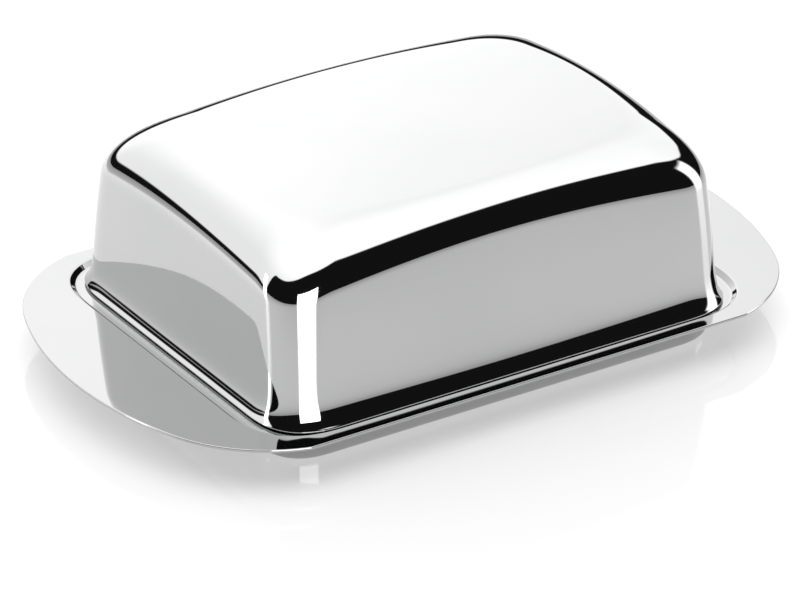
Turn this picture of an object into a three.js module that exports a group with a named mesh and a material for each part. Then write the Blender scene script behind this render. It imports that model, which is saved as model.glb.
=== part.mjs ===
// A butter dish of polished stainless steel: a pressed tray with arc-shaped ends to hold it by,
// and a deep-drawn cover that stands loose on a sunk ledge round the tray's well, inside a step that
// keeps it in place, and lifts straight off.
//
// Millimetres, +Z up, +X along the length. The origin is on the surface that the dish stands on,
// under the middle of the tray. Both pieces are one sheet of even thickness.

import * as THREE from 'three';

// ---------- driving dimensions ----------

const SHEET = 0.8; // thickness of both sheets

// Tray, seen from above
const TRAY_LENGTH = 190;
const TRAY_WIDTH = 117.6;
const END_RADIUS = 100; // the long arc across each end
const END_HALF_ANGLE = 21 * (Math.PI / 180); // of the end arc, either side of the X axis
const CORNER_RADIUS = 38; // the arc between an end arc and a long side
const STEP_FOOT = { halfX: 70.1, halfY: 52.95, radius: 15.4 }; // outer edge of the ledge
const WELL = { halfX: 65.4, halfY: 49.2, radius: 12.4 }; // inner edge of the ledge, round the well

// Tray, heights of the upper face
const FLANGE_TOP = 11;
const LEDGE_TOP = 9.6; // the cover stands on this
const FLOOR_TOP = SHEET;
const WALL_TILT = 3 * (Math.PI / 180); // the well's wall leans out this much from upright
const STEP_TILT = 45 * (Math.PI / 180); // and the step from ledge to flange this much
const FLOOR_BEND = 1.2; // upper-face radii of the four bends, from the floor outwards
const WELL_BEND = 1.3;
const LEDGE_BEND = 0.8;
const FLANGE_BEND = 0.7;

// Cover
const RIM = { halfX: 67.4, halfY: 52.9, radius: 14 }; // lower edge of the outer face
const RIM_HEIGHT = 10.31; // its height, with the sheet's lower edge just clear of the ledge
const WALL = { halfX: 65.5, halfY: 49.7, radius: 10.6 }; // outer face of the wall, above the flared foot
const FLARE_HEIGHT = 2.3; // the foot's flare dies down to a third over this, at the ends and corners
const SIDE_FLARE_HEIGHT = 2.7; // and at the middle of each long side
const TOP_CORNER_RADIUS = 10.5; // upright corners where the top begins
const COVER_TOP = 56.5; // height of the middle of the top
const WALL_TILT_LOW = 2 * (Math.PI / 180); // the wall's lean at the foot
const END_TILT_HIGH = 4.9 * (Math.PI / 180); // and where it turns over into the top, at the ends
const SIDE_TILT_HIGH = 7.5 * (Math.PI / 180); // and at the long sides
const CORNER_EDGE_RADIUS = 15.9; // the turn from wall to top, at the corners
const END_EDGE_RADIUS = 13.1; // at the middle of each end
const SIDE_EDGE_RADIUS = 11.9; // and at the middle of each long side
const END_BOW = 2.1; // how far each end bulges at its middle, at the top
const SIDE_BOW = 1.1; // and each long side, at the foot
const TOP_DROOP_X = 1.6; // how far the crowned top falls towards each end
const TOP_DROOP_Y = 2.1; // and towards each long side

// Fineness of the outlines: steps per quarter of a ring
const HALF_END_STEPS = 2;
const CORNER_STEPS = 8;
const HALF_SIDE_STEPS = 2;

// Fineness of the sheets' profiles
const WALL_STEPS = 9;
const EDGE_STEPS = 8;
const TOP_STEPS = 4;
const BEND_STEPS = 4;

// ---------- outlines ----------

// Copies the points of one quarter (from +X round to +Y) to the other three, as one closed ring.
function fullRing(quarter) {
  const mirrored = (signX, signY) => quarter.map((p) => p.clone().setX(signX * p.x).setY(signY * p.y));
  const second = mirrored(-1, 1).reverse().slice(1);
  const third = mirrored(-1, -1).slice(1);
  const fourth = mirrored(1, -1).reverse().slice(1, -1);
  return [...quarter, ...second, ...third, ...fourth];
}

// Points along a straight line, without the last one.
function lineTo(from, to, steps) {
  return Array.from({ length: steps }, (_, i) => from.clone().lerp(to, i / steps));
}

// Points along an arc, with both ends.
function arc(centre, radius, startAngle, endAngle, steps) {
  return Array.from({ length: steps + 1 }, (_, i) => {
    const angle = startAngle + ((endAngle - startAngle) * i) / steps;
    return new THREE.Vector2(centre.x + radius * Math.cos(angle), centre.y + radius * Math.sin(angle));
  });
}

// The places round one quarter of a rounded rectangle, from +X to +Y. Each holds its shares of the way
// out to the corner's centre, along X and along Y, and the direction from there to the outline.
function quarterPlaces() {
  const shares = (steps) => Array.from({ length: steps }, (_, i) => i / steps);
  return [
    ...shares(HALF_END_STEPS).map((share) => ({ outX: 1, outY: share, angle: 0 })),
    ...shares(CORNER_STEPS).map((share) => ({ outX: 1, outY: 1, angle: (share * Math.PI) / 2 })),
    ...shares(HALF_SIDE_STEPS).map((share) => ({ outX: 1 - share, outY: 1, angle: Math.PI / 2 })),
    { outX: 0, outY: 1, angle: Math.PI / 2 },
  ];
}

const QUARTER = quarterPlaces();

function outlinePoint({ halfX, halfY, radius }, place) {
  const x = (halfX - radius) * place.outX + radius * Math.cos(place.angle);
  const y = (halfY - radius) * place.outY + radius * Math.sin(place.angle);
  return new THREE.Vector2(x, y);
}

function roundedRectangle(shape) {
  return fullRing(QUARTER.map((place) => outlinePoint(shape, place)));
}

// The same rectangle grown outwards by a distance, with its corners staying concentric.
function grown({ halfX, halfY, radius }, by) {
  return { halfX: halfX + by, halfY: halfY + by, radius: radius + by };
}

// The rectangle at a share of the way from one to another.
function between(from, to, share) {
  return {
    halfX: THREE.MathUtils.lerp(from.halfX, to.halfX, share),
    halfY: THREE.MathUtils.lerp(from.halfY, to.halfY, share),
    radius: THREE.MathUtils.lerp(from.radius, to.radius, share),
  };
}

// The tray's outer edge: an arc across each end, a tighter arc at each corner and straight long sides,
// which the corner arcs meet at a slight angle.
function trayOutline() {
  const endCentre = new THREE.Vector2(TRAY_LENGTH / 2 - END_RADIUS, 0);
  const endSteps = HALF_END_STEPS + 2;
  const cornerSteps = CORNER_STEPS - 2;
  const end = arc(endCentre, END_RADIUS, 0, END_HALF_ANGLE, endSteps);
  const inward = new THREE.Vector2(-Math.cos(END_HALF_ANGLE), -Math.sin(END_HALF_ANGLE));
  const cornerCentre = end[endSteps].clone().addScaledVector(inward, CORNER_RADIUS);
  const lastAngle = Math.asin((TRAY_WIDTH / 2 - cornerCentre.y) / CORNER_RADIUS);
  const corner = arc(cornerCentre, CORNER_RADIUS, END_HALF_ANGLE, lastAngle, cornerSteps);
  const middle = new THREE.Vector2(0, TRAY_WIDTH / 2);
  const side = lineTo(corner[cornerSteps], middle, HALF_SIDE_STEPS).slice(1);
  return fullRing([...end.slice(0, -1), ...corner, ...side, middle]);
}

// ---------- sheet profiles ----------

// A bend of a sheet's upper face, drawn outwards in the plane of the profile. Each point holds its
// place (u outwards, z up) and its slope angle; a positive turn bends the sheet upwards.
function bend(start, slope, turn, radius) {
  const side = Math.sign(turn);
  const centre = {
    u: start.u - side * radius * Math.sin(slope),
    z: start.z + side * radius * Math.cos(slope),
  };
  return Array.from({ length: BEND_STEPS + 1 }, (_, i) => {
    const angle = slope + (turn * i) / BEND_STEPS;
    return {
      u: centre.u + side * radius * Math.sin(angle),
      z: centre.z - side * radius * Math.cos(angle),
      slope: angle,
    };
  });
}

// A rise between two level stretches: a bend up, a straight wall and a bend back to level. It ends
// at u = 0 when endsAtZero is set, and starts there otherwise.
function rise(bottom, top, tilt, lowRadius, highRadius, endsAtZero) {
  const turn = Math.PI / 2 - tilt;
  const low = bend({ u: 0, z: bottom }, 0, turn, lowRadius);
  const bendsHeight = (lowRadius + highRadius) * (1 - Math.cos(turn));
  const wallLength = (top - bottom - bendsHeight) / Math.sin(turn);
  const foot = low[BEND_STEPS];
  const head = { u: foot.u + wallLength * Math.cos(turn), z: foot.z + wallLength * Math.sin(turn) };
  const points = [...low, ...bend(head, turn, -turn, highRadius)];
  const shift = endsAtZero ? points[points.length - 1].u : 0;
  return points.map((p) => ({ ...p, u: p.u - shift }));
}

// The point of the lower face under a point of the upper face.
function underside(p) {
  return { ...p, u: p.u + SHEET * Math.sin(p.slope), z: p.z - SHEET * Math.cos(p.slope) };
}

// ---------- solids ----------

function ringAt(outline, z) {
  return outline.map((p) => new THREE.Vector3(p.x, p.y, z));
}

// Joins rings of equally many points into one closed surface, and closes the first and last ring
// with a fan about its middle. The rings run from the middle of the upper face out to the edge and
// back to the middle of the lower face.
function closedLoft(rings, firstMiddle, lastMiddle) {
  const count = rings[0].length;
  const points = [firstMiddle, ...rings.flat(), lastMiddle];
  const last = points.length - 1;
  const triangles = [];
  for (let i = 0; i < count; i += 1) {
    const next = (i + 1) % count;
    triangles.push(0, 1 + i, 1 + next);
    for (let r = 0; r + 1 < rings.length; r += 1) {
      const inner = 1 + r * count;
      const outer = inner + count;
      triangles.push(inner + i, outer + i, outer + next);
      triangles.push(inner + i, outer + next, inner + next);
    }
    const rim = 1 + (rings.length - 1) * count;
    triangles.push(last, rim + next, rim + i);
  }
  const geometry = new THREE.BufferGeometry().setFromPoints(points);
  geometry.setIndex(triangles);
  geometry.computeVertexNormals();
  return geometry;
}

function makeTray() {
  const wellRise = rise(FLOOR_TOP, LEDGE_TOP, WALL_TILT, FLOOR_BEND, WELL_BEND, true);
  const stepRise = rise(LEDGE_TOP, FLANGE_TOP, STEP_TILT, LEDGE_BEND, FLANGE_BEND, false);
  const wellRing = (p) => ringAt(roundedRectangle(grown(WELL, p.u)), p.z);
  const stepRing = (p) => ringAt(roundedRectangle(grown(STEP_FOOT, p.u)), p.z);
  const edge = trayOutline();
  const rings = [
    ...wellRise.map(wellRing),
    ...stepRise.map(stepRing),
    ringAt(edge, FLANGE_TOP),
    ringAt(edge, FLANGE_TOP - SHEET),
    ...stepRise.map(underside).reverse().map(stepRing),
    ...wellRise.map(underside).reverse().map(wellRing),
  ];
  const floorMiddle = new THREE.Vector3(0, 0, FLOOR_TOP);
  const undersideMiddle = new THREE.Vector3(0, 0, FLOOR_TOP - SHEET);
  return closedLoft(rings, floorMiddle, undersideMiddle);
}

// How far the crowned top has fallen at a place on it.
function droop(x, y) {
  return TOP_DROOP_X * (x / RIM.halfX) ** 2 + TOP_DROOP_Y * (y / RIM.halfY) ** 2;
}

// The point of the cover's outer face at one place round it, from how far the wall has leant in there,
// the height and the share of the foot's flare that has died down. The bow of the ends and the droop
// grow towards the top, and the bow of the long sides grows towards the foot.
function coverPoint(place, inset, height, settled) {
  const climb = (height - RIM_HEIGHT) / (COVER_TOP - RIM_HEIGHT);
  const low = between(RIM, WALL, settled);
  const shape = {
    halfX: low.halfX - inset,
    halfY: low.halfY - inset,
    radius: THREE.MathUtils.lerp(low.radius, TOP_CORNER_RADIUS, climb),
  };
  const { x, y } = outlinePoint(shape, place);
  const bowX = END_BOW * climb ** 2 * (1 - (y / shape.halfY) ** 2);
  const bowY = SIDE_BOW * settled * (1 - climb) ** 2 * (1 - (x / shape.halfX) ** 2);
  const point = new THREE.Vector3(x * (1 + bowX / shape.halfX), y * (1 + bowY / shape.halfY), height);
  point.z -= climb ** 3 * droop(point.x, point.y);
  return point;
}

// The cover's outer face at one place round it, from the rim up to where the top begins. The turn into
// the top is tightest at the middles of the long sides, where the flare of the foot is widest.
function coverColumn(place) {
  const turned = THREE.MathUtils.smoothstep(place.angle, 0, Math.PI / 2);
  const cornerShare =
    (THREE.MathUtils.smoothstep(place.outX, 0, 1) * THREE.MathUtils.smoothstep(place.outY, 0, 1)) ** 2;
  const tiltHigh = THREE.MathUtils.lerp(END_TILT_HIGH, SIDE_TILT_HIGH, turned);
  const middleRadius = THREE.MathUtils.lerp(END_EDGE_RADIUS, SIDE_EDGE_RADIUS, turned);
  const edgeRadius = THREE.MathUtils.lerp(middleRadius, CORNER_EDGE_RADIUS, cornerShare);
  const flareHeight = THREE.MathUtils.lerp(FLARE_HEIGHT, SIDE_FLARE_HEIGHT, turned * (1 - cornerShare));
  const edgeFoot = COVER_TOP - edgeRadius * (1 - Math.sin(tiltHigh));
  const wallHeight = edgeFoot - RIM_HEIGHT;
  const points = [];
  let inset = 0;
  for (let i = 0; i <= WALL_STEPS; i += 1) {
    const climb = (i / WALL_STEPS) ** 2; // closer steps at the foot
    const tilt = THREE.MathUtils.lerp(WALL_TILT_LOW, tiltHigh, climb);
    const height = wallHeight * climb;
    const leaning = Math.log(Math.cos(WALL_TILT_LOW) / Math.cos(tilt)) / (tiltHigh - WALL_TILT_LOW);
    inset = wallHeight * leaning;
    points.push(coverPoint(place, inset, RIM_HEIGHT + height, 1 - Math.exp(-height / flareHeight)));
  }
  for (let i = 1; i <= EDGE_STEPS; i += 1) {
    const lean = THREE.MathUtils.lerp(tiltHigh, Math.PI / 2, i / EDGE_STEPS);
    const edgeInset = inset + edgeRadius * (Math.cos(tiltHigh) - Math.cos(lean));
    const edgeHeight = edgeFoot + edgeRadius * (Math.sin(lean) - Math.sin(tiltHigh));
    points.push(coverPoint(place, edgeInset, edgeHeight, 1));
  }
  return points;
}

// Rings that carry the top in from its edge ring towards the middle.
function topRings(edgeRing) {
  return Array.from({ length: TOP_STEPS - 1 }, (_, i) => {
    const share = 1 - (i + 1) / TOP_STEPS;
    return edgeRing.map((v) => {
      const x = v.x * share;
      const y = v.y * share;
      return new THREE.Vector3(x, y, COVER_TOP - droop(x, y));
    });
  });
}

// The rings of a face moved inwards by the sheet's thickness. The rings run up to a middle point.
function innerRings(rings, middle) {
  return rings.map((ring, r) => {
    return ring.map((v, i) => {
      const above = r + 1 < rings.length ? rings[r + 1][i] : middle;
      const below = r > 0 ? rings[r - 1][i] : v;
      const up = above.clone().sub(below);
      const along = ring[(i + 1) % ring.length].clone().sub(ring[(i + ring.length - 1) % ring.length]);
      const outwards = along.cross(up).normalize();
      return v.clone().addScaledVector(outwards, -SHEET);
    });
  });
}

function makeCover() {
  const columns = QUARTER.map(coverColumn);
  const side = columns[0].map((_, i) => fullRing(columns.map((column) => column[i])));
  const outer = [...side, ...topRings(side[side.length - 1])];
  const outerMiddle = new THREE.Vector3(0, 0, COVER_TOP);
  const innerMiddle = new THREE.Vector3(0, 0, COVER_TOP - SHEET);
  const inner = innerRings(outer, outerMiddle);
  return closedLoft([...outer.reverse(), ...inner], outerMiddle, innerMiddle);
}

function polishedSteel() {
  return new THREE.MeshStandardMaterial({ color: 0xd4d5d6, roughness: 0.08, metalness: 1 });
}

// ---------- assembly ----------

const group = new THREE.Group();

const tray = new THREE.Mesh(makeTray(), polishedSteel());
tray.name = 'tray';
group.add(tray);

const cover = new THREE.Mesh(makeCover(), polishedSteel());
cover.name = 'cover';
group.add(cover);

export default group;
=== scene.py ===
"""A mirror-polished stainless steel butter dish: a pressed tray and a loose deep-drawn cover.

Both pieces are sheets of even thickness. Each is lofted through rings that run from the middle of the
sheet's upper face out to its rounded cut edge, and back to the middle of its lower face. Lengths are in
metres.
"""

import math

import bpy
import numpy as np
from mathutils import Matrix, Vector


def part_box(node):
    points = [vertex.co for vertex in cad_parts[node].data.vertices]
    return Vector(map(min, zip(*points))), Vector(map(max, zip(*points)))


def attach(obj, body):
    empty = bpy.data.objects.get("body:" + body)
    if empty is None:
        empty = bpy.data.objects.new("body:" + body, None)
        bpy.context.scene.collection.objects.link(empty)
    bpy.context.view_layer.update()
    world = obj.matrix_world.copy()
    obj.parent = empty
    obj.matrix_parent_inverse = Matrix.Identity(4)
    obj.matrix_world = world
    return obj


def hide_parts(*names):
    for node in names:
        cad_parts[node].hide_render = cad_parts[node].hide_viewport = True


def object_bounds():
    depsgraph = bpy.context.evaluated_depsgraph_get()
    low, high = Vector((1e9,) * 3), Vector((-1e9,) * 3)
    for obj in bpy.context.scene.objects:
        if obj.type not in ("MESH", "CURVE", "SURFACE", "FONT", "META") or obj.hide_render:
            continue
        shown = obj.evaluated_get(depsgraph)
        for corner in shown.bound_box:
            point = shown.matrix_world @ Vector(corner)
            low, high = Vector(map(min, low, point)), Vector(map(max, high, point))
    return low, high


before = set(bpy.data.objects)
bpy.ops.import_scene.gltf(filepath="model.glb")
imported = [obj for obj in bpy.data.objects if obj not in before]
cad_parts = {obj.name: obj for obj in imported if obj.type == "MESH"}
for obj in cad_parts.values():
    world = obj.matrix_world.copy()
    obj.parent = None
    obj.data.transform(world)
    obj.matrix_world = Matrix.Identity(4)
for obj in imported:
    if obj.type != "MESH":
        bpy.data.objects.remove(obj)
cad_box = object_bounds()

MM = 0.001
RIGHT_ANGLE = math.pi / 2

# ---------- the two sheets ----------

SHEET = 0.8 * MM
CUT_EDGE_RADIUS = 0.22 * MM  # the deburred edges of both sheets
FLAT_MARGIN = 1.5 * CUT_EDGE_RADIUS  # the flat of the flange stops this far inside its outline

tray_low, tray_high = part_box("tray")
cover_low, cover_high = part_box("cover")

# Tray, seen from above. A rounded rectangle is (half length, half width, corner radius).
TRAY_HALF_LENGTH = tray_high.x
TRAY_HALF_WIDTH = tray_high.y
END_RADIUS = 100 * MM  # the long arc across each end
END_HALF_ANGLE = math.radians(21)  # of the end arc, either side of the X axis
TRAY_CORNER_RADIUS = 38 * MM  # the arc between an end arc and a long side
STEP_FOOT = np.array([70.1, 52.95, 15.4]) * MM  # outer edge of the ledge
WELL = np.array([65.4, 49.2, 12.4]) * MM  # inner edge of the ledge, round the well

# Tray, heights of the upper face
FLANGE_TOP = tray_high.z
LEDGE_TOP = FLANGE_TOP - 1.4 * MM  # the cover stands on this
FLOOR_TOP = tray_low.z + SHEET
WALL_TILT = math.radians(3)  # the well's wall leans out this much from upright
STEP_TILT = math.radians(45)  # and the step from ledge to flange this much
FLOOR_BEND = 1.2 * MM  # upper-face radii of the four bends, from the floor outwards
WELL_BEND = 1.3 * MM
LEDGE_BEND = 0.8 * MM
FLANGE_BEND = 0.7 * MM

# Cover
RIM = np.array([67.4, 52.9, 14.0]) * MM  # lower edge of the outer face
RIM_HEIGHT = FLANGE_TOP - 0.69 * MM
RIM_SHARE = 0.009  # of the wall's height, where the rings above the cut edge begin
WALL = np.array([65.5, 49.7, 10.6]) * MM  # outer face of the wall, above the flared foot
FLARE_HEIGHT = 2.3 * MM  # the foot's flare dies down to a third over this, at the ends and corners
SIDE_FLARE_HEIGHT = 2.7 * MM  # and at the middle of each long side
COVER_TOP = cover_high.z
TOP_CORNER_RADIUS = 10.5 * MM  # upright corners where the top begins
COVER_TILT_LOW = math.radians(2)  # the wall's lean at the foot
END_TILT_HIGH = math.radians(4.9)  # and where it turns over into the top, at the ends
SIDE_TILT_HIGH = math.radians(7.5)  # and at the long sides
CORNER_EDGE_RADIUS = 16.2 * MM  # the turn from wall to top, at the corners
END_EDGE_RADIUS = 13.1 * MM  # at the middle of each end
SIDE_EDGE_RADIUS = 11.9 * MM  # and at the middle of each long side
BLEND_ROUNDING = 0.12  # share of half a side over which the peak at a corner is rounded off
END_BOW = 2.1 * MM  # how far each end bulges at its middle, at the top
SIDE_BOW = 1.1 * MM  # and each long side, at the foot
TOP_DROOP = np.array([1.6, 2.1]) * MM  # how far the crowned top falls towards the ends and the sides

# The corners of the outlines: a superellipse of this power, which curves gradually where it leaves a
# straight side, and how much further it reaches along the sides than an arc does
CORNER_POWER = 2.6
CORNER_REACH = (1 - 0.5 ** 0.5) / (1 - 0.5 ** (1 / CORNER_POWER))

# The slight waves that pressing leaves in the cover
WAVE_HEIGHT = 0.006 * MM
WAVE_LENGTH = 34 * MM
CROSS_WAVE_LENGTH = WAVE_LENGTH / 0.73
WAVE_PHASE = 0.6
CROSS_WAVE_PHASE = 1.26

# Fineness: steps round a quarter of a ring, then steps along the sections
HALF_END_STEPS = 26
CORNER_STEPS = 44
HALF_SIDE_STEPS = 30
WALL_STEPS = 34
EDGE_STEPS = 44
TOP_STEPS = 20
BEND_STEPS = 12
LEDGE_STEPS = 6
FLANGE_STEPS = 10
CUT_EDGE_STEPS = 4
WALL_CROWDING = 1.5  # power that crowds the wall's rings towards the foot


def lerp(start, end, share):
    return start + (end - start) * share


def smooth(share):
    return share * share * (3 - 2 * share)


# ---------- outlines ----------

def quarter_template():
    """For each point of a rounded rectangle's quarter, from +X round to +Y: the shares (u, v) of the
    corner's centre and the direction (c, s) from there that give the point."""
    end = [(1, i / HALF_END_STEPS, 1, 0) for i in range(HALF_END_STEPS)]
    angles = [RIGHT_ANGLE * i / CORNER_STEPS for i in range(CORNER_STEPS)]
    power = 2 / CORNER_POWER
    corner = [(1, 1, math.cos(a) ** power, math.sin(a) ** power) for a in angles]
    side = [(1 - i / HALF_SIDE_STEPS, 1, 0, 1) for i in range(HALF_SIDE_STEPS + 1)]
    return np.array(end + corner + side)


def full_ring(quarter):
    """Copies the points of one quarter, from +X round to +Y, to the other three as one closed ring."""
    flip_x = np.ones(quarter.shape[1])
    flip_x[0] = -1
    flip_y = np.ones(quarter.shape[1])
    flip_y[1] = -1
    second = (quarter * flip_x)[-2::-1]
    third = (quarter * flip_x * flip_y)[1:]
    fourth = (quarter * flip_y)[-2:0:-1]
    return np.concatenate([quarter, second, third, fourth])


QUARTER = quarter_template()


def rounded_quarter(half_x, half_y, radius):
    """The curve that rounds the corner passes through the middle of an arc of the given radius."""
    reach = radius * CORNER_REACH
    x = (half_x - reach) * QUARTER[:, 0] + reach * QUARTER[:, 2]
    y = (half_y - reach) * QUARTER[:, 1] + reach * QUARTER[:, 3]
    return x, y


def rounded_rectangle(shape):
    """The ring of a rounded rectangle (half length, half width, corner radius)."""
    return full_ring(np.stack(rounded_quarter(*shape), axis=-1))


def arc(centre, radius, start, end, steps):
    angles = start + (end - start) * np.arange(steps + 1) / steps
    return centre + radius * np.stack([np.cos(angles), np.sin(angles)], axis=-1)


def tray_outline(inset):
    """The tray's outer edge, moved in by a distance: an arc across each end, a tighter arc at each
    corner and straight long sides, which the corner arcs meet at a slight angle."""
    end_centre = np.array([TRAY_HALF_LENGTH - END_RADIUS, 0])
    end = arc(end_centre, END_RADIUS - inset, 0, END_HALF_ANGLE, HALF_END_STEPS)
    direction = np.array([math.cos(END_HALF_ANGLE), math.sin(END_HALF_ANGLE)])
    corner_centre = end_centre + (END_RADIUS - TRAY_CORNER_RADIUS) * direction
    radius = TRAY_CORNER_RADIUS - inset
    half_width = TRAY_HALF_WIDTH - inset
    last_angle = math.asin((half_width - corner_centre[1]) / radius)
    corner = arc(corner_centre, radius, END_HALF_ANGLE, last_angle, CORNER_STEPS)
    shares = np.arange(1, HALF_SIDE_STEPS + 1)[:, None] / HALF_SIDE_STEPS
    side = corner[-1] + (np.array([0, half_width]) - corner[-1]) * shares
    return full_ring(np.concatenate([end[:-1], corner, side]))


# ---------- sections ----------
# A section of the tray's upper face is a list of (u, z, slope), with u outwards.

def bend(start, slope, turn, radius):
    """A bend that starts at (u, z) with a slope. A positive turn bends the sheet upwards."""
    side = math.copysign(1, turn)
    centre_u = start[0] - side * radius * math.sin(slope)
    centre_z = start[1] + side * radius * math.cos(slope)
    angles = [slope + turn * i / BEND_STEPS for i in range(BEND_STEPS + 1)]
    return [
        (centre_u + side * radius * math.sin(angle), centre_z - side * radius * math.cos(angle), angle)
        for angle in angles
    ]


def rise(bottom, top, tilt, low_radius, high_radius, ends_at_zero):
    """Two level stretches joined by a bend up, a straight wall and a bend back to level. The section
    ends at u = 0 when ends_at_zero is set, and starts there otherwise."""
    turn = RIGHT_ANGLE - tilt
    low = bend((0, bottom), 0, turn, low_radius)
    bends_height = (low_radius + high_radius) * (1 - math.cos(turn))
    wall = (top - bottom - bends_height) / math.sin(turn)
    foot = low[-1]
    head = (foot[0] + wall * math.cos(turn), foot[1] + wall * math.sin(turn))
    points = low + bend(head, turn, -turn, high_radius)
    shift = points[-1][0] if ends_at_zero else 0
    return [(u - shift, z, slope) for u, z, slope in points]


def underside(point):
    """The point of a sheet's lower face under a point of its upper face."""
    u, z, slope = point
    return (u + SHEET * math.sin(slope), z - SHEET * math.cos(slope), slope)


def cut_edge(top):
    """The rounded cut edge of a sheet whose upper face is at height top, from the upper face to the
    lower: (inset from the sheet's outline, z)."""
    quarter = [RIGHT_ANGLE * i / CUT_EDGE_STEPS for i in range(CUT_EDGE_STEPS + 1)]
    upper = [(CUT_EDGE_RADIUS * (1 - math.sin(a)), CUT_EDGE_RADIUS * (1 - math.cos(a))) for a in quarter]
    above = [(inset, top - drop) for inset, drop in upper]
    below = [(inset, top - SHEET + drop) for inset, drop in reversed(upper)]
    return above + below


# ---------- rings and lofts ----------

def ring_at(outline, z):
    heights = np.broadcast_to(z, outline.shape[:1])
    return np.concatenate([outline, heights[:, None]], axis=1)


def grown_ring(shape, point):
    """A rounded rectangle grown outwards to a point of a section, with its corners staying concentric."""
    return ring_at(rounded_rectangle(shape + point[0]), point[1])


def tray_face(well, step):
    """One face of the tray from the floor's middle to just inside the cut edge, from its sections of the
    well's wall and the step."""
    floor_edge = grown_ring(WELL, well[0])
    ledge_start = grown_ring(WELL, well[-1])
    ledge_end = grown_ring(STEP_FOOT, step[0])
    flange_start = grown_ring(STEP_FOOT, step[-1])
    flange_end = ring_at(tray_outline(FLAT_MARGIN), step[-1][1])
    floor_middle = np.array([0, 0, well[0][1]])
    rings = [lerp(floor_middle, floor_edge, i / TOP_STEPS) for i in range(1, TOP_STEPS)]
    rings += [grown_ring(WELL, point) for point in well]
    rings += [lerp(ledge_start, ledge_end, i / LEDGE_STEPS) for i in range(1, LEDGE_STEPS)]
    rings += [grown_ring(STEP_FOOT, point) for point in step]
    rings += [lerp(flange_start, flange_end, i / FLANGE_STEPS) for i in range(1, FLANGE_STEPS + 1)]
    return rings


def tray_rings():
    well = rise(FLOOR_TOP, LEDGE_TOP, WALL_TILT, FLOOR_BEND, WELL_BEND, True)
    step = rise(LEDGE_TOP, FLANGE_TOP, STEP_TILT, LEDGE_BEND, FLANGE_BEND, False)
    upper = tray_face(well, step)
    edge = [ring_at(tray_outline(inset), z) for inset, z in cut_edge(FLANGE_TOP)]
    lower = tray_face([underside(point) for point in well], [underside(point) for point in step])
    return upper + edge + lower[::-1]


def droop(x, y):
    """How far the crowned top has fallen at a place on it."""
    return TOP_DROOP[0] * (x / RIM[0]) ** 2 + TOP_DROOP[1] * (y / RIM[1]) ** 2


def corner_blend():
    """For each place of the quarter, 1 at the middle of the corner down to 0 at the middles of the two
    sides: steep near the corner, where its peak is rounded, and level at the sides' middles."""
    angle = np.arctan2(QUARTER[:, 3], QUARTER[:, 2])
    past_corner = angle > RIGHT_ANGLE / 2
    reach = TOP_CORNER_RADIUS * CORNER_REACH
    straight = np.where(past_corner, WALL[0], WALL[1]) - reach
    along = straight * (1 - np.where(past_corner, QUARTER[:, 0], QUARTER[:, 1]))
    around = reach * np.abs(angle - RIGHT_ANGLE / 2)
    away = (along + around) / (straight + reach * RIGHT_ANGLE / 2)

    def curve(distance):
        return 1 - 2 * (np.sqrt(distance ** 2 + BLEND_ROUNDING ** 2) - BLEND_ROUNDING) + distance ** 2

    return (curve(away) - curve(1.0)) / (1 - curve(1.0))


class CoverSide:
    """The cover's outer face from the rim up to where the top begins. Its values are arrays, with one
    for each place of the quarter. The turn into the top is tightest at the middles of the long sides."""

    def __init__(self):
        turned = smooth(np.arctan2(QUARTER[:, 3], QUARTER[:, 2]) / RIGHT_ANGLE)
        corner_share = corner_blend()
        self.tilt_high = lerp(END_TILT_HIGH, SIDE_TILT_HIGH, turned)
        middle_radius = lerp(END_EDGE_RADIUS, SIDE_EDGE_RADIUS, turned)
        self.edge_radius = lerp(middle_radius, CORNER_EDGE_RADIUS, corner_share)
        self.flare_height = lerp(FLARE_HEIGHT, SIDE_FLARE_HEIGHT, turned * (1 - corner_share))
        self.edge_foot = COVER_TOP - self.edge_radius * (1 - np.sin(self.tilt_high))
        self.wall_height = self.edge_foot - RIM_HEIGHT

    def ring(self, inset, height, settled):
        """The ring from how far the wall has leant in, the height and the share of the foot's flare
        that has died down. The bow of the ends and the droop grow towards the top, and the bow of the
        long sides grows towards the foot."""
        climb = (height - RIM_HEIGHT) / (COVER_TOP - RIM_HEIGHT)
        low_x, low_y, low_radius = RIM[:, None] + (WALL - RIM)[:, None] * settled
        half_x = low_x - inset
        half_y = low_y - inset
        x, y = rounded_quarter(half_x, half_y, lerp(low_radius, TOP_CORNER_RADIUS, climb))
        bow_x = END_BOW * climb ** 2 * (1 - (y / half_y) ** 2)
        bow_y = SIDE_BOW * settled * (1 - climb) ** 2 * (1 - (x / half_x) ** 2)
        x = x * (1 + bow_x / half_x)
        y = y * (1 + bow_y / half_y)
        return full_ring(np.stack([x, y, height - climb ** 3 * droop(x, y)], axis=-1))

    def lean_in(self, tilt):
        """How far the wall has leant in where it has come to a tilt, which grows evenly with height."""
        gained = self.tilt_high - COVER_TILT_LOW
        return self.wall_height * np.log(math.cos(COVER_TILT_LOW) / np.cos(tilt)) / gained

    def wall_ring(self, share):
        inset = self.lean_in(lerp(COVER_TILT_LOW, self.tilt_high, share))
        height = self.wall_height * share
        return self.ring(inset, RIM_HEIGHT + height, 1 - np.exp(-height / self.flare_height))

    def edge_ring(self, share):
        lean = lerp(self.tilt_high, RIGHT_ANGLE, share)
        inset = self.lean_in(self.tilt_high) + self.edge_radius * (np.cos(self.tilt_high) - np.cos(lean))
        height = self.edge_foot + self.edge_radius * (np.sin(lean) - np.sin(self.tilt_high))
        return self.ring(inset, height, np.ones(len(QUARTER)))


def top_rings(edge_ring):
    """Rings that carry the crowned top in from its edge towards the middle."""
    rings = []
    for i in range(TOP_STEPS - 1, 0, -1):
        outline = edge_ring[:, :2] * i / TOP_STEPS
        rings.append(ring_at(outline, COVER_TOP - droop(outline[:, 0], outline[:, 1])))
    return rings


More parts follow.
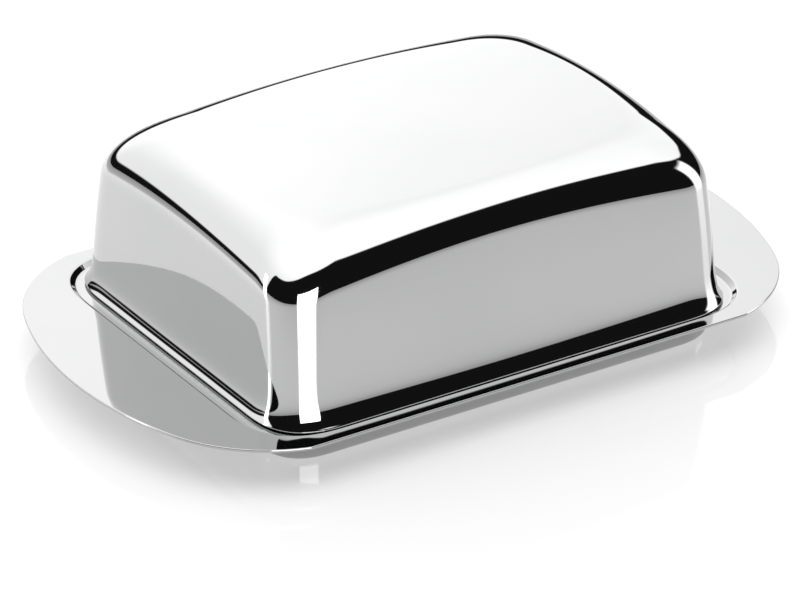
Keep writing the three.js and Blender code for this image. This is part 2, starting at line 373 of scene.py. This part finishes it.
def outwards(ring, up):
    """The unit normals of a face along one of its rings, from the direction up the face there."""
    along = np.roll(ring, -1, axis=0) - np.roll(ring, 1, axis=0)
    normals = np.cross(along, up)
    return normals / np.linalg.norm(normals, axis=1)[:, None]


def cover_rings():
    side = CoverSide()
    shares = [lerp(RIM_SHARE, 1, (i / WALL_STEPS) ** WALL_CROWDING) for i in range(WALL_STEPS + 1)]
    outer = [side.wall_ring(share) for share in shares]
    outer += [side.edge_ring(i / EDGE_STEPS) for i in range(1, EDGE_STEPS + 1)]
    outer += top_rings(outer[-1])

    rim = side.wall_ring(0.0)
    up = side.wall_ring(RIM_SHARE / 10) - rim
    up = up / np.linalg.norm(up, axis=1)[:, None]
    normals = outwards(rim, up)
    edge = [rim + up * inset + normals * z for inset, z in cut_edge(0)]

    middle = np.broadcast_to(np.array([0, 0, COVER_TOP]), rim.shape)
    below = [rim] + outer[:-1]
    above = outer[1:] + [middle]
    inner = [v - SHEET * outwards(v, high - low) for v, low, high in zip(outer, below, above)]
    return outer[::-1] + edge + inner


def closed_loft(name, rings, first_middle, last_middle):
    """One closed mesh through rings of equally many points, with its two ends closed by fans."""
    count = len(rings[0])
    points = np.concatenate([[first_middle], *rings, [last_middle]])
    last = len(points) - 1
    here = np.arange(count)
    after = (here + 1) % count
    quads = []
    for r in range(len(rings) - 1):
        inner = 1 + r * count
        outer = inner + count
        quads.append(np.stack([inner + here, outer + here, outer + after, inner + after], axis=1))
    quads = np.concatenate(quads)
    rim = last - count
    fans = [(0, 1 + int(i), 1 + int(j)) for i, j in zip(here, after)]
    fans += [(last, rim + int(j), rim + int(i)) for i, j in zip(here, after)]
    mesh = bpy.data.meshes.new(name)
    mesh.from_pydata([tuple(p) for p in points], [], [tuple(q) for q in quads.tolist()] + fans)
    mesh.validate()
    mesh.shade_smooth()
    piece = bpy.data.objects.new(name, mesh)
    bpy.context.scene.collection.objects.link(piece)
    return piece


def add_waves(piece):
    """Moves both faces of the sheet together by the slight waves of a pressed sheet."""
    mesh = piece.data
    count = len(mesh.vertices)
    places = np.zeros(count * 3)
    normals = np.zeros(count * 3)
    mesh.vertices.foreach_get("co", places)
    mesh.vertex_normals.foreach_get("vector", normals)
    places = places.reshape(-1, 3)
    normals = normals.reshape(-1, 3)
    waves = np.zeros_like(places)
    for axis in range(3):
        along = 2 * math.pi * places[:, (axis + 1) % 3] / WAVE_LENGTH
        across = 2 * math.pi * places[:, (axis + 2) % 3] / CROSS_WAVE_LENGTH
        waves[:, axis] = np.sin(along + WAVE_PHASE + axis) * np.cos(across + CROSS_WAVE_PHASE)
    mesh.vertices.foreach_set("co", (places + WAVE_HEIGHT * waves * np.abs(normals)).ravel())
    mesh.update()


# ---------- node helpers ----------

def add_node(tree, kind, settings=None, **inputs):
    """Adds a node, sets its properties, and links or sets its inputs by name (with _ for a space)."""
    node = tree.nodes.new(kind)
    for key, value in (settings or {}).items():
        setattr(node, key, value)
    for key, value in inputs.items():
        socket = node.inputs[key.replace("_", " ")]
        if isinstance(value, bpy.types.NodeSocket):
            tree.links.new(value, socket)
        else:
            socket.default_value = value
    return node


def calculate(tree, operation, *values):
    """Adds a math node on sockets or numbers, and gives its result."""
    node = tree.nodes.new("ShaderNodeMath")
    node.operation = operation
    for socket, value in zip(node.inputs, values):
        if isinstance(value, bpy.types.NodeSocket):
            tree.links.new(value, socket)
        else:
            socket.default_value = value
    return node.outputs[0]


def soft_step(tree, value, edge, softness):
    """0 below the edge and 1 above it, with a smooth change as wide as the softness."""
    node = add_node(
        tree,
        "ShaderNodeMapRange",
        {"interpolation_type": "SMOOTHSTEP"},
        Value=calculate(tree, "SUBTRACT", value, edge),
        From_Min=-softness / 2,
        From_Max=softness / 2,
    )
    return node.outputs["Result"]


def by_azimuth(tree, azimuth, places):
    """A value from 0 to 1 that changes smoothly with azimuth through the given (azimuth, value) places.
    The first place is at -180 degrees, and its value is used at 180 degrees too."""
    share = calculate(tree, "MULTIPLY_ADD", azimuth, 1 / 360, 0.5)
    ramp = add_node(tree, "ShaderNodeValToRGB", Fac=share)
    ramp.color_ramp.interpolation = "CARDINAL"
    points = [(place / 360 + 0.5, value) for place, value in places] + [(1.0, places[0][1])]
    elements = ramp.color_ramp.elements
    elements[0].position, elements[1].position = points[0][0], points[-1][0]
    elements[0].color = (points[0][1],) * 3 + (1,)
    elements[1].color = (points[-1][1],) * 3 + (1,)
    for position, value in points[1:-1]:
        elements.new(position).color = (value, value, value, 1)
    return ramp.outputs["Color"]


# ---------- materials ----------

# The tray and the cover are the same steel. The tray's lower reflectance is painted shade: it darkens the
# tray to fit the tones it shows in this studio.
TRAY_SHADED_REFLECTANCE = 0.46
COVER_REFLECTANCE = 0.525
LOW_TONE = (0.982, 0.986, 0.987)  # share of the reflectance in the darker clouds, by colour
HIGH_TONE = (1.013, 1.017, 1.015)  # and in the lighter ones
CLOUD_LOW = 0.3  # the clouds' noise where each tone is reached
CLOUD_HIGH = 0.7
LEAST_ROUGHNESS = 0.012
CLOUD_ROUGHNESS = 0.03
MARK_ROUGHNESS = 0.05
MARKS = ((0.10, 900.0), (-0.35, 1500.0))  # turn from the length, in radians, and fineness
MARK_STRETCH = 0.012  # fineness along a mark as a share of that across it


def polished_steel(name, seed, reflectance):
    """Mirror-polished stainless steel, with faint polishing marks and a slightly uneven gloss."""
    material = bpy.data.materials.new(name)
    material.use_nodes = True
    tree = material.node_tree
    shader = tree.nodes["Principled BSDF"]
    shader.inputs["Metallic"].default_value = 1.0
    place = tree.nodes.new("ShaderNodeTexCoord").outputs["Object"]

    cloud = add_node(tree, "ShaderNodeTexNoise", Vector=place, Scale=22.0, Detail=3.0, Distortion=seed)
    tone = add_node(tree, "ShaderNodeValToRGB", Fac=cloud.outputs["Fac"])
    stops = zip(tone.color_ramp.elements, (CLOUD_LOW, CLOUD_HIGH), (LOW_TONE, HIGH_TONE))
    for stop, position, shares in stops:
        stop.position = position
        stop.color = [share * reflectance for share in shares] + [1]
    tree.links.new(tone.outputs["Color"], shader.inputs["Base Color"])

    # Polishing marks: noise drawn out along the length, at two angles
    marks = []
    for turn, fineness in MARKS:
        stretched = add_node(
            tree,
            "ShaderNodeMapping",
            Vector=place,
            Rotation=(0.0, 0.0, turn + seed),
            Scale=(MARK_STRETCH, 1.0, 1.0),
        )
        vector = stretched.outputs["Vector"]
        marks.append(add_node(tree, "ShaderNodeTexNoise", Vector=vector, Scale=fineness, Detail=2.0))
    both = calculate(tree, "MULTIPLY", marks[0].outputs["Fac"], marks[1].outputs["Fac"])
    gloss = calculate(tree, "MULTIPLY_ADD", cloud.outputs["Fac"], CLOUD_ROUGHNESS, LEAST_ROUGHNESS)
    roughness = calculate(tree, "MULTIPLY_ADD", both, MARK_ROUGHNESS, gloss)
    tree.links.new(roughness, shader.inputs["Roughness"])

    bump = add_node(tree, "ShaderNodeBump", Height=both, Strength=0.04, Distance=0.00002)
    tree.links.new(bump.outputs["Normal"], shader.inputs["Normal"])
    return material


def floor_material():
    """Smooth white board with a clear, slightly glossy surface."""
    material = bpy.data.materials.new("white_board")
    material.use_nodes = True
    shader = material.node_tree.nodes["Principled BSDF"]
    shader.inputs["Base Color"].default_value = (0.5, 0.5, 0.5, 1)
    shader.inputs["Roughness"].default_value = 0.07
    shader.inputs["IOR"].default_value = 1.4
    shader.inputs["Emission Color"].default_value = (1, 1, 1, 1)
    shader.inputs["Emission Strength"].default_value = 0.4
    return material


# ---------- the studio ----------

FLOOR_HALF_SIZE = 12.0


def make_floor():
    mesh = bpy.data.meshes.new("floor")
    size = FLOOR_HALF_SIZE
    corners = [(-size, -size, 0), (size, -size, 0), (size, size, 0), (-size, size, 0)]
    mesh.from_pydata(corners, [], [(0, 1, 2, 3)])
    floor = bpy.data.objects.new("floor", mesh)
    floor.data.materials.append(floor_material())
    bpy.context.scene.collection.objects.link(floor)


# The white ceiling by azimuth from +X towards +Y: azimuth and elevation of its lower edge in degrees,
# and its radiance there. It changes smoothly from one place to the next, and from the last to the first.
CEILING = (
    (-180.0, 46.0, 1.55),
    (-150.0, 51.0, 1.6),
    (-120.0, 57.0, 1.7),
    (-90.0, 58.0, 1.8),
    (-62.0, 52.0, 1.85),
    (-30.0, 49.0, 1.85),
    (0.0, 34.0, 1.8),
    (20.0, 24.0, 1.75),
    (36.0, 17.0, 1.75),
    (47.0, 12.0, 1.65),
    (54.0, 9.0, 1.68),
    (60.0, 8.0, 1.82),
    (75.0, 7.0, 1.85),
    (100.0, 8.0, 1.6),
    (120.0, 9.0, 1.5),
    (140.0, 7.0, 1.5),
    (160.0, 10.0, 1.55),
    (168.0, 40.0, 1.55),
)
CEILING_SOFTNESS = 2.5  # degrees
OVERHEAD_RADIANCE = 2.0
OVERHEAD_CHANGE = (55.0, 50.0)  # middle and width of the change to it, in degrees of elevation
GAP_RADIANCE = 0.01
BACKDROP_RADIANCE = 1.0
ELEVATION_SCALE = 90.0  # the values by azimuth are held as shares of these two
RADIANCE_SCALE = 4.0

# Light panels of the studio: azimuth from +X towards +Y and its half width, lowest and highest
# elevation, softness of the edges, all in degrees, and radiance
PANELS = (
    (260.0, 20.0, -5.0, 24.0, 1.5, 5.5),
    (155.0, 3.8, -5.0, 28.0, 1.5, 4.5),
    (-17.5, 11.5, -5.0, 33.0, 7.0, 3.0),
)


def make_studio():
    """The room as the steel mirrors it: a white ceiling that comes down to a dark gap above the
    horizon, higher on one side than on the other, with lit panels in the gap. Behind the object the
    camera sees plain white."""
    world = bpy.data.worlds.new("studio")
    bpy.context.scene.world = world
    world.use_nodes = True
    tree = world.node_tree
    direction = tree.nodes.new("ShaderNodeTexCoord").outputs["Generated"]
    parts = add_node(tree, "ShaderNodeSeparateXYZ", Vector=direction)
    x, y, z = parts.outputs
    elevation = calculate(tree, "DEGREES", calculate(tree, "ARCSINE", z))
    azimuth = calculate(tree, "DEGREES", calculate(tree, "ARCTAN2", y, x))

    gap_top = by_azimuth(tree, azimuth, [(place, top / ELEVATION_SCALE) for place, top, _ in CEILING])
    gap_top = calculate(tree, "MULTIPLY", gap_top, ELEVATION_SCALE)
    low_light = by_azimuth(tree, azimuth, [(place, light / RADIANCE_SCALE) for place, _, light in CEILING])
    low_light = calculate(tree, "MULTIPLY", low_light, RADIANCE_SCALE)
    climb = soft_step(tree, elevation, *OVERHEAD_CHANGE)
    more = calculate(tree, "MULTIPLY", climb, calculate(tree, "SUBTRACT", OVERHEAD_RADIANCE, low_light))
    ceiling_light = calculate(tree, "ADD", low_light, more)
    ceiling = soft_step(tree, elevation, gap_top, CEILING_SOFTNESS)
    lit = calculate(tree, "MULTIPLY", ceiling, calculate(tree, "SUBTRACT", ceiling_light, GAP_RADIANCE))
    light = calculate(tree, "ADD", lit, GAP_RADIANCE)

    for centre, half_width, low, high, softness, radiance in PANELS:
        turned = calculate(tree, "SUBTRACT", azimuth, centre)
        away = calculate(tree, "ABSOLUTE", calculate(tree, "WRAP", turned, 180.0, -180.0))
        inside = soft_step(tree, calculate(tree, "SUBTRACT", half_width, away), 0.0, softness)
        above = soft_step(tree, elevation, low, softness)
        below = soft_step(tree, calculate(tree, "SUBTRACT", high, elevation), 0.0, softness)
        mask = calculate(tree, "MULTIPLY", inside, calculate(tree, "MULTIPLY", above, below))
        panel = calculate(tree, "MULTIPLY", mask, radiance)
        light = calculate(tree, "MAXIMUM", light, panel)

    seen = tree.nodes.new("ShaderNodeLightPath").outputs["Is Camera Ray"]
    shown = add_node(tree, "ShaderNodeMix", {"data_type": "FLOAT"})
    tree.links.new(seen, shown.inputs[0])
    tree.links.new(light, shown.inputs[2])
    shown.inputs[3].default_value = BACKDROP_RADIANCE
    tree.links.new(shown.outputs[0], tree.nodes["Background"].inputs["Color"])


# ---------- the camera ----------

VIEW_AZIMUTH = math.radians(-32.62)  # turn of the view about Z, from a view along +Y
VIEW_ELEVATION = math.radians(27.77)
VIEW_ROLL = math.radians(0.1)
VIEW_DISTANCE = 1.4915
AIM_RIGHT = -0.8 * MM  # the picture's middle from the middle of the CAD box, across the view
AIM_UP = -19.7 * MM
SENSOR_WIDTH = 36  # millimetres, as the focal length is
FOCAL_LENGTH = 270


def make_camera():
    data = bpy.data.cameras.new("camera")
    data.sensor_width = SENSOR_WIDTH
    data.lens = FOCAL_LENGTH
    data.clip_start = 0.05
    data.clip_end = 60
    level = math.cos(VIEW_ELEVATION)
    height = math.sin(VIEW_ELEVATION)
    back = Vector((math.sin(VIEW_AZIMUTH) * level, -math.cos(VIEW_AZIMUTH) * level, height))
    right = Vector((0, 0, 1)).cross(back).normalized()
    up = back.cross(right)
    turn = Matrix.Rotation(VIEW_ROLL, 3, back)
    right, up = turn @ right, turn @ up
    middle = (cad_box[0] + cad_box[1]) / 2
    place = middle + back * VIEW_DISTANCE + right * AIM_RIGHT + up * AIM_UP
    camera = bpy.data.objects.new("camera", data)
    camera.matrix_world = Matrix.Translation(place) @ Matrix((right, up, back)).transposed().to_4x4()
    bpy.context.scene.collection.objects.link(camera)
    bpy.context.scene.camera = camera


# ---------- the dish ----------

def make_tray():
    floor_middle = (0, 0, FLOOR_TOP)
    underside_middle = (0, 0, FLOOR_TOP - SHEET)
    piece = closed_loft("steel_tray", tray_rings(), floor_middle, underside_middle)
    piece.data.materials.append(polished_steel("tray_steel", 0.0, TRAY_SHADED_REFLECTANCE))
    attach(piece, "tray")
    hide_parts("tray")


def make_cover():
    piece = closed_loft("steel_cover", cover_rings(), (0, 0, COVER_TOP), (0, 0, COVER_TOP - SHEET))
    add_waves(piece)
    piece.data.materials.append(polished_steel("cover_steel", 0.4, COVER_REFLECTANCE))
    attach(piece, "cover")
    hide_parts("cover")


make_camera()
make_tray()
make_cover()
make_floor()
make_studio()
bpy.context.scene.view_settings.view_transform = "Standard"
